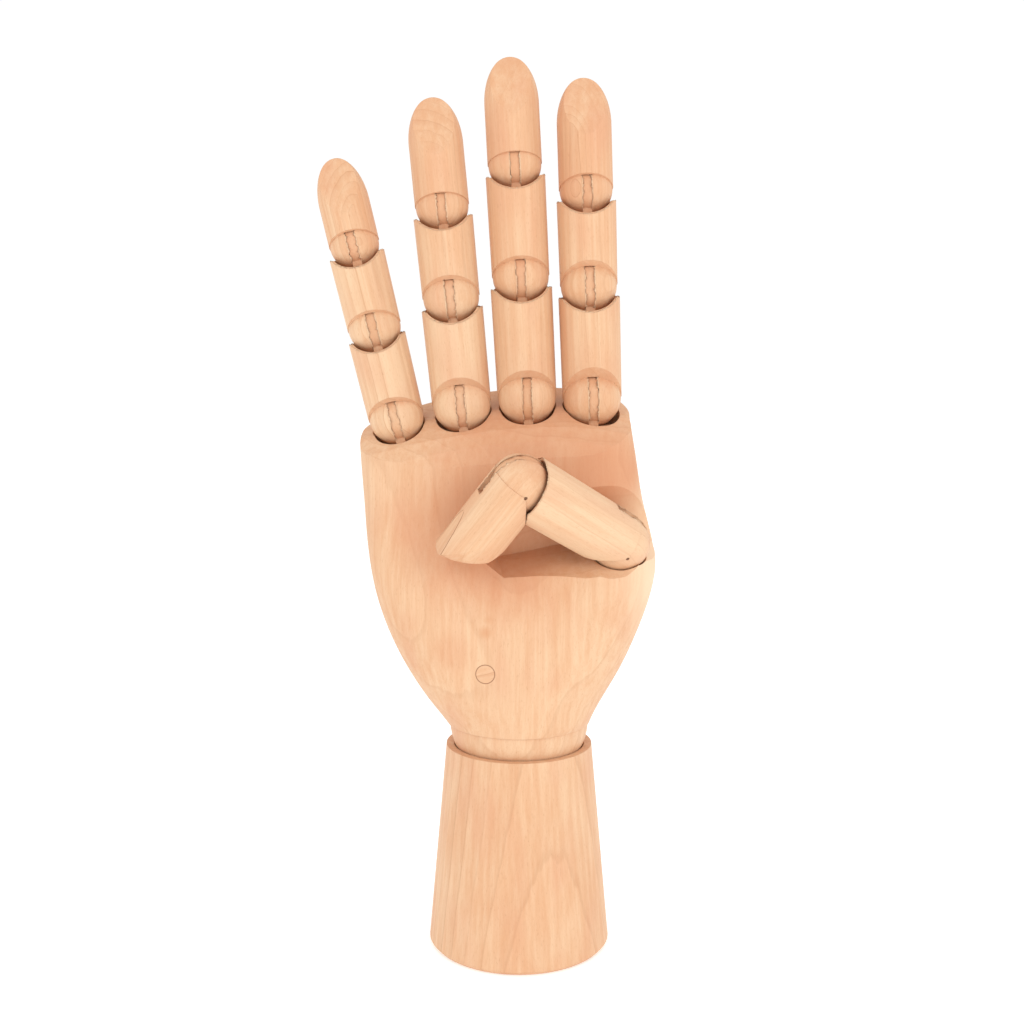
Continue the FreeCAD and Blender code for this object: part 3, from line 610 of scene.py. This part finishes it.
def add_rows(name, body, matrix, rows, material):
    """Makes one mesh of the slivers and lets it ride on its body."""
    verts, faces = rows
    mesh = bpy.data.meshes.new(name)
    mesh.from_pydata([matrix @ (vert * MM) for vert in verts], [], faces)
    mesh.validate()
    work = bmesh.new()
    work.from_mesh(mesh)
    bmesh.ops.recalc_face_normals(work, faces=work.faces)
    work.to_mesh(mesh)
    work.free()
    piece = bpy.data.objects.new(name, mesh)
    scene.collection.objects.link(piece)
    dress(piece, material)
    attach(piece, body)


def radial(point):
    """Unit vector away from the pin, square to it."""
    return Vector((0, point.y, point.z)).normalized()


def half_width(piece, matrix):
    """Half the width of a segment along its pin, in millimetres."""
    inverse = matrix.inverted()
    return max(abs((inverse @ vertex.co).x) for vertex in piece.data.vertices) / MM


def tear_slot(name, piece, matrix, radius, body, material, rng):
    """Torn fibres along both edges of the saw slot in a ball."""
    def keep(point):
        beside = abs(abs(point.x) - SLOT_HALF) < BESIDE
        on_ball = SLOT_NEAR * radius < math.hypot(point.y, point.z) < SLOT_FAR * radius
        return beside and on_ball and point.z > LOWEST * radius

    rows = ([], [])
    for points in edge_samples(piece, matrix, keep):
        sign = -1.0 if points[0].x > 0 else 1.0
        torn_lip(rows, points, SLOT_TUFTS, lambda p, s=sign: Vector((s, 0, 0)), radial, rng)
    add_rows(name, body, matrix, rows, material)


def tear_tongue(name, piece, matrix, radius, body, material, rng):
    """Torn fibres along the rounded edge of a tongue."""
    def keep(point):
        beside = abs(abs(point.x) - TONGUE_HALF) < BESIDE
        outer = math.hypot(point.y, point.z) > TONGUE_NEAR * radius
        return beside and outer and point.z > LOWEST * radius

    rows = ([], [])
    for points in edge_samples(piece, matrix, keep):
        sign = 1.0 if points[0].x > 0 else -1.0
        torn_lip(rows, points, TONGUE_TUFTS, lambda p, s=sign: Vector((s, 0, 0)), radial, rng)
    add_rows(name, body, matrix, rows, material)


def tear_rim(name, piece, matrix, radius, length, body, material, rng):
    """Torn fibres along the thin rim of a cup."""
    def keep(point):
        outer = math.hypot(point.x, point.y) > RIM_NEAR * radius
        return outer and length - RIM_BELOW * radius < point.z < length + RIM_ABOVE * radius

    def toward(point):
        inward = Vector((-point.x, -point.y, 0)).normalized()
        return (UP * RIM_UPWARD + inward * RIM_INWARD).normalized()

    def outward(point):
        return Vector((point.x, point.y, 0)).normalized()

    rows = ([], [])
    for points in edge_samples(piece, matrix, keep):
        torn_lip(rows, points, RIM_TUFTS, toward, outward, rng)
    add_rows(name, body, matrix, rows, material)


BODY_OF = {node: body for body, members in record["behaviour"]["bodies"].items() for node in members}
DIGITS = {digit: SEGMENTS for digit in FINGERS}
DIGITS["thumb"] = ("proximal", "distal")

FIBRE_SEED = 23
fibre_rng = random.Random(FIBRE_SEED)
for digit, parts in DIGITS.items():
    for index, part in enumerate(parts):
        name = f"{digit}_{part}"
        piece, matrix, body = nodes[name], SEGMENT_FRAMES[name], BODY_OF[name]
        fibre = wood(f"{name}_fibre", matrix, fibre_rng.uniform(0, 900), rings=0.1,
                     shade=PIECE_TONES[name][0] - FIBRE_PALER)
        width = half_width(piece, matrix)
        tear_slot(f"{name}_slot_fibres", piece, matrix, width, body, fibre, fibre_rng)
        tongue = nodes[f"{name}_tongue"]
        tongue_matrix = SEGMENT_FRAMES["thumb_cup"] if name == "thumb_proximal" else matrix
        if name == "thumb_distal":
            tongue_matrix = Matrix.Translation(matrix.translation) @ (
                SEGMENT_FRAMES["thumb_proximal"].to_3x3().to_4x4())
        tear_tongue(f"{name}_tongue_fibres", tongue, tongue_matrix, width,
                    BODY_OF[f"{name}_tongue"], fibre, fibre_rng)
        if index + 1 < len(parts):
            after = SEGMENT_FRAMES[f"{digit}_{parts[index + 1]}"].translation
            length = (after - matrix.translation).length / MM
            tear_rim(f"{name}_rim_fibres", piece, matrix, width, length, body, fibre, fibre_rng)


# ---------------------------------------------------------------- floor, light and camera
# half the floor's side and its drop below the foot in metres, its colour and its glow
FLOOR_HALF = 3.0
FLOOR_DROP = 0.0002
FLOOR_COLOR = (0.86, 0.86, 0.86, 1)
FLOOR_GLOW = 0.35


def make_floor():
    """Pale floor just under the foot, bright enough to leave no edge against the background."""
    mesh = bpy.data.meshes.new("floor")
    corners = [(x * FLOOR_HALF, y * FLOOR_HALF, 0) for x, y in ((-1, -1), (1, -1), (1, 1), (-1, 1))]
    mesh.from_pydata(corners, [], [(0, 1, 2, 3)])
    floor = bpy.data.objects.new("floor", mesh)
    floor.location.z = -FLOOR_DROP
    scene.collection.objects.link(floor)
    material = bpy.data.materials.new("floor_white")
    material.use_nodes = True
    shader = material.node_tree.nodes["Principled BSDF"]
    shader.inputs["Base Color"].default_value = FLOOR_COLOR
    shader.inputs["Roughness"].default_value = 0.8
    shader.inputs["Emission Color"].default_value = (1, 1, 1, 1)
    shader.inputs["Emission Strength"].default_value = FLOOR_GLOW
    dress(floor, material)


# the lamps aim at the middle of the hand, in metres
LIGHT_TARGET = (0, 0, 0.13)
LIGHT_TINT = (1.0, 0.985, 0.96)
WORLD_STRENGTH = 1.02


def area_light(name, place, size, watts):
    """Round soft lamp that points at the hand."""
    light = bpy.data.lights.new(name, "AREA")
    light.shape = "DISK"
    light.size = size
    light.energy = watts
    light.color = LIGHT_TINT
    lamp = bpy.data.objects.new(name, light)
    lamp.location = place
    lamp.rotation_euler = (Vector(LIGHT_TARGET) - Vector(place)).to_track_quat("-Z", "Y").to_euler()
    scene.collection.objects.link(lamp)


def make_light():
    """Even white surroundings with two soft lamps, one on each side of the camera."""
    world = bpy.data.worlds.new("studio")
    world.use_nodes = True
    back = world.node_tree.nodes["Background"]
    back.inputs["Color"].default_value = (1, 1, 1, 1)
    back.inputs["Strength"].default_value = WORLD_STRENGTH
    scene.world = world
    area_light("key", (-0.50, -0.80, 0.70), size=0.40, watts=1.55)
    area_light("fill", (0.66, -0.72, 0.48), size=0.45, watts=1.7)


# camera: place in metres, tilt down and turn in degrees, lens and sensor in millimetres
EYE_DISTANCE = 0.3674
EYE_HEIGHT = 0.1711
EYE_SIDE = -0.0035
EYE_PITCH = 6.99
EYE_TURN = -0.23
EYE_LENS = 45.74
EYE_SENSOR = 36.0
NEAREST = 0.01
FARTHEST = 20.0


def make_camera():
    """Camera where the photograph was taken from."""
    lens = bpy.data.cameras.new("camera")
    lens.lens = EYE_LENS
    lens.sensor_width = EYE_SENSOR
    lens.clip_start = NEAREST
    lens.clip_end = FARTHEST
    camera = bpy.data.objects.new("camera", lens)
    camera.location = (EYE_SIDE, -EYE_DISTANCE, EYE_HEIGHT)
    camera.rotation_euler = (math.radians(90.0 - EYE_PITCH), 0.0, math.radians(EYE_TURN))
    scene.collection.objects.link(camera)
    scene.camera = camera


make_floor()
make_light()
make_camera()
scene.view_settings.view_transform = "Standard"
